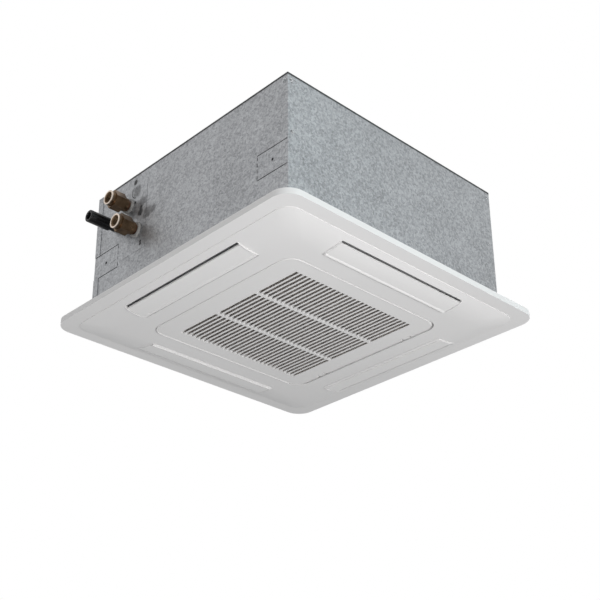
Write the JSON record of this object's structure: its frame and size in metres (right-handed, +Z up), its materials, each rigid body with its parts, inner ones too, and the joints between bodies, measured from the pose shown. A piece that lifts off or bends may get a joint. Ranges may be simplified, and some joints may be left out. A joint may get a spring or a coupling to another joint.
{
  "type": "cassette fan coil unit",
  "caption": "Square ceiling cassette fan coil unit: galvanised casing with pipe unions, and a white moulded panel with louvre vanes on its sides and a hinged slatted intake grille.",
  "frame": {"origin": "centre of the ceiling plane, on which the top of the panel's rim seats", "axes": "+Z up into the ceiling void, -Y towards the side where the pipes leave, +X to the right when that side is seen from the front"},
  "size_m": [0.68, 0.6915, 0.3306],
  "materials": {
    "galvanised": "spangled zinc",
    "coil_fins": "bare fins",
    "copper": "dull copper",
    "brass": "turned, dull",
    "steel": "zinc plated",
    "motor_paint": "satin black",
    "black_rubber": "matt",
    "grey_foam": "closed cell foam",
    "white_foam": "moulded bead foam",
    "panel_white": "fine satin",
    "vane_white": "fine satin",
    "grille_white": "fine satin",
    "filter_grey": "woven",
    "fan_plastic": "glass filled",
    "bell_plastic": "satin",
    "pump_plastic": "satin"
  },
  "bodies": {
    "casing": {"top_plate": "galvanised", "pipe_side_sheet": "galvanised", "rear_side_sheet": "galvanised", "right_side_sheet": "galvanised", "left_side_sheet": "galvanised", "hanger_bracket_front_right": "galvanised", "hanger_bracket_rear_right": "galvanised", "hanger_bracket_rear_left": "galvanised", "hanger_bracket_front_left": "galvanised", "pipe_plate": "galvanised", "corner_strap_rear_right": "galvanised", "corner_strap_rear_left": "galvanised", "corner_strap_front_left": "galvanised", "corner_strap_front_right": "galvanised", "coil_end_plate_front": "galvanised", "coil_end_plate_left": "galvanised", "motor_mount": "galvanised", "control_box": "galvanised", "control_box_cover": "galvanised", "coil_fin_pack": "coil_fins", "coil_return_bends": "copper", "return_header": "copper", "supply_header": "copper", "return_union": "brass", "supply_union": "brass", "air_vent": "brass", "panel_screws": "steel", "grille_hinge_pins": "steel", "fan_motor": "motor_paint", "motor_bushes": "black_rubber", "drain_stub": "black_rubber", "cable_grommet": "black_rubber", "panel_gasket": "black_rubber", "insulation_liner": "grey_foam", "pipe_seal": "grey_foam", "drain_pan": "white_foam", "duct_walls": "white_foam", "panel_backing": "white_foam", "panel_frame": "panel_white", "catch_sockets": "panel_white", "inlet_ring": "bell_plastic", "drain_pump": "pump_plastic", "terminal_block": "pump_plastic", "capacitor": "pump_plastic"},
    "fan_rotor": {"impeller": "fan_plastic", "fan_shaft": "steel", "hub_nut": "steel"},
    "vane_front": {"vane_front": "vane_white"},
    "vane_right": {"vane_right": "vane_white"},
    "vane_rear": {"vane_rear": "vane_white"},
    "vane_left": {"vane_left": "vane_white"},
    "grille": {"intake_grille": "grille_white", "filter_frame": "filter_grey", "filter_net": "filter_grey"},
    "float": {"pump_float": "pump_plastic"}
  },
  "joints": [
    {"name": "fan_spin", "type": "hinge", "parent": "casing", "child": "fan_rotor", "pos_m": [0, 0, 0.13], "axis": [0, 0, 1], "continuous": true},
    {"name": "vane_front_turn", "type": "hinge", "parent": "casing", "child": "vane_front", "pos_m": [0, -0.247, -0.021], "axis": [1, 0, 0], "range_deg": [0, 40]},
    {"name": "vane_right_turn", "type": "hinge", "parent": "casing", "child": "vane_right", "pos_m": [0.247, 0, -0.021], "axis": [0, 1, 0], "range_deg": [0, 40]},
    {"name": "vane_rear_turn", "type": "hinge", "parent": "casing", "child": "vane_rear", "pos_m": [0, 0.247, -0.021], "axis": [-1, 0, 0], "range_deg": [0, 40]},
    {"name": "vane_left_turn", "type": "hinge", "parent": "casing", "child": "vane_left", "pos_m": [-0.247, 0, -0.021], "axis": [0, -1, 0], "range_deg": [0, 40]},
    {"name": "grille_swing", "type": "hinge", "parent": "casing", "child": "grille", "pos_m": [0, 0.194, -0.021], "axis": [1, 0, 0], "range_deg": [0, 90]},
    {"name": "float_rise", "type": "slide", "parent": "casing", "child": "float", "axis": [0, 0, 1], "range_m": [0, 0.008]}
  ]
}
